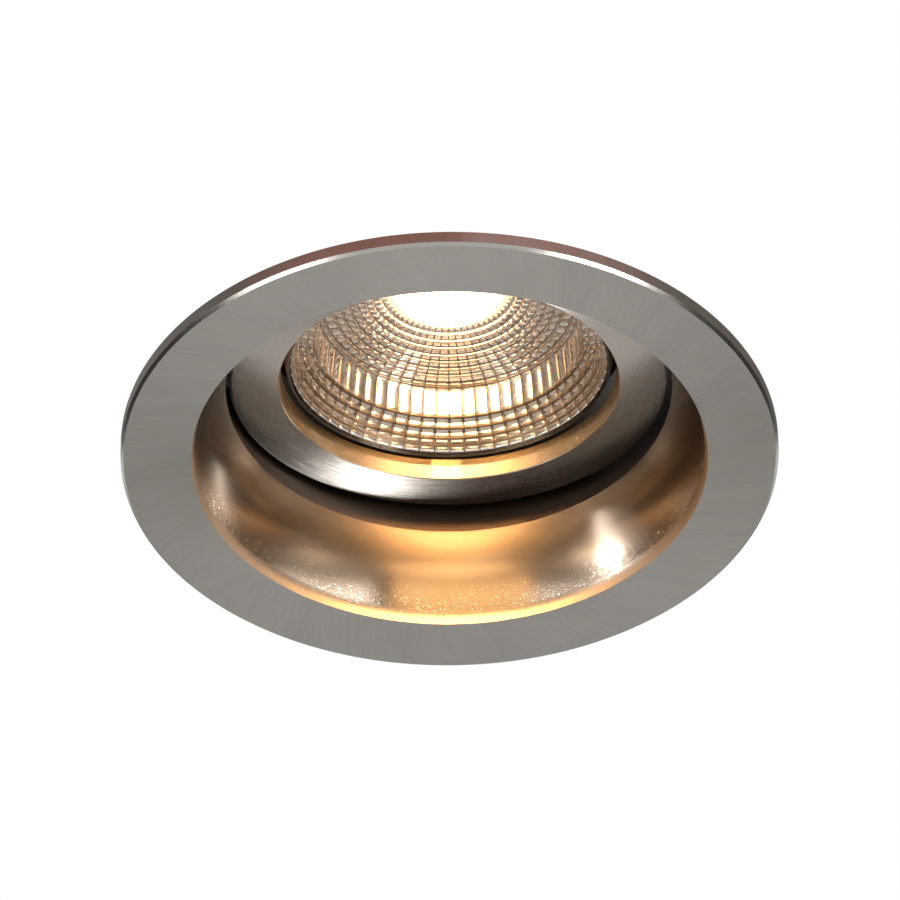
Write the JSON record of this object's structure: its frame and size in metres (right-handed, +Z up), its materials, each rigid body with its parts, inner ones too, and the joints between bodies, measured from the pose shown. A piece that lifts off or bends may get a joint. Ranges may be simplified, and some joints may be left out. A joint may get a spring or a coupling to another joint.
{
  "type": "recessed spotlight",
  "caption": "Round recessed ceiling spotlight with a brushed flange, a deep satin cone and a tilting ring that holds a lit reflector lamp, clamped by sprung wings.",
  "frame": {"origin": "centre of the ceiling cut-out, on the ceiling's lower face", "axes": "+Z up into the ceiling, +X along the tilt axis, -Y towards the viewer of the picture"},
  "size_m": [0.1, 0.1482, 0.0843],
  "materials": {
    "brushed_nickel": "brushed",
    "seal_foam": "closed-cell foam",
    "screw_steel": "zinc plated",
    "washer_nylon": "moulded",
    "strap_zinc": "zinc plated sheet",
    "pin_steel": "turned",
    "spring_steel": "drawn wire",
    "pad_rubber": "moulded",
    "holder_ceramic": "unglazed",
    "contact_brass": "stamped",
    "lens_clear": "clear",
    "reflector_chrome": "faceted mirror",
    "led_phosphor": "lit phosphor",
    "led_board_white": "solder mask",
    "heatsink_aluminium": "spun",
    "shell_plastic": "moulded",
    "base_plastic": "moulded",
    "pin_nickel": "nickel plated",
    "driver_green": "solder mask",
    "capacitor_black": "sleeve",
    "coil_tape": "taped winding",
    "rectifier_black": "moulded"
  },
  "bodies": {
    "housing": {"trim_ring": "brushed_nickel", "ceiling_seal": "seal_foam", "clip_pin_front": "pin_steel", "clip_pin_rear": "pin_steel", "clip_spring_front": "spring_steel", "clip_spring_rear": "spring_steel"},
    "carrier": {"gimbal_ring": "brushed_nickel", "pivot_screws": "screw_steel", "pivot_washers": "washer_nylon", "lamp_bracket": "strap_zinc", "bracket_screws": "screw_steel", "lampholder_body": "holder_ceramic", "lampholder_cover": "holder_ceramic", "lampholder_contacts": "contact_brass", "lampholder_screws": "screw_steel"},
    "lamp": {"lamp_lens": "lens_clear", "reflector": "reflector_chrome", "led_chip": "led_phosphor", "led_board": "led_board_white", "board_screws": "screw_steel", "lamp_heatsink": "heatsink_aluminium", "lamp_shell": "shell_plastic", "lamp_base": "base_plastic", "lamp_pins": "pin_nickel", "driver_board": "driver_green", "driver_capacitor": "capacitor_black", "driver_coil": "coil_tape", "driver_rectifier": "rectifier_black"},
    "clip_front": {"clip_arm_front": "strap_zinc", "clip_pad_front": "pad_rubber"},
    "clip_rear": {"clip_arm_rear": "strap_zinc", "clip_pad_rear": "pad_rubber"}
  },
  "joints": [
    {"name": "lamp_tilt", "type": "hinge", "parent": "housing", "child": "carrier", "pos_m": [0, 0, 0.017], "axis": [1, 0, 0], "range_deg": [-26.2, 13.8]},
    {"name": "lamp_twist", "type": "hinge", "parent": "carrier", "child": "lamp", "pos_m": [0, 0, 0.017], "axis": [0, -0.108, 0.9942], "range_deg": [-35, 0]},
    {"name": "clip_front_fold", "type": "hinge", "parent": "housing", "child": "clip_front", "pos_m": [0, -0.03975, 0.014], "axis": [-1, 0, 0], "range_deg": [0, 105], "stiffness_Nm_per_rad": 0.1, "springref_deg": -68.75, "deforming": ["clip_spring_front"]},
    {"name": "clip_rear_fold", "type": "hinge", "parent": "housing", "child": "clip_rear", "pos_m": [0, 0.03975, 0.014], "axis": [1, 0, 0], "range_deg": [0, 105], "stiffness_Nm_per_rad": 0.1, "springref_deg": -68.75, "deforming": ["clip_spring_rear"]}
  ]
}
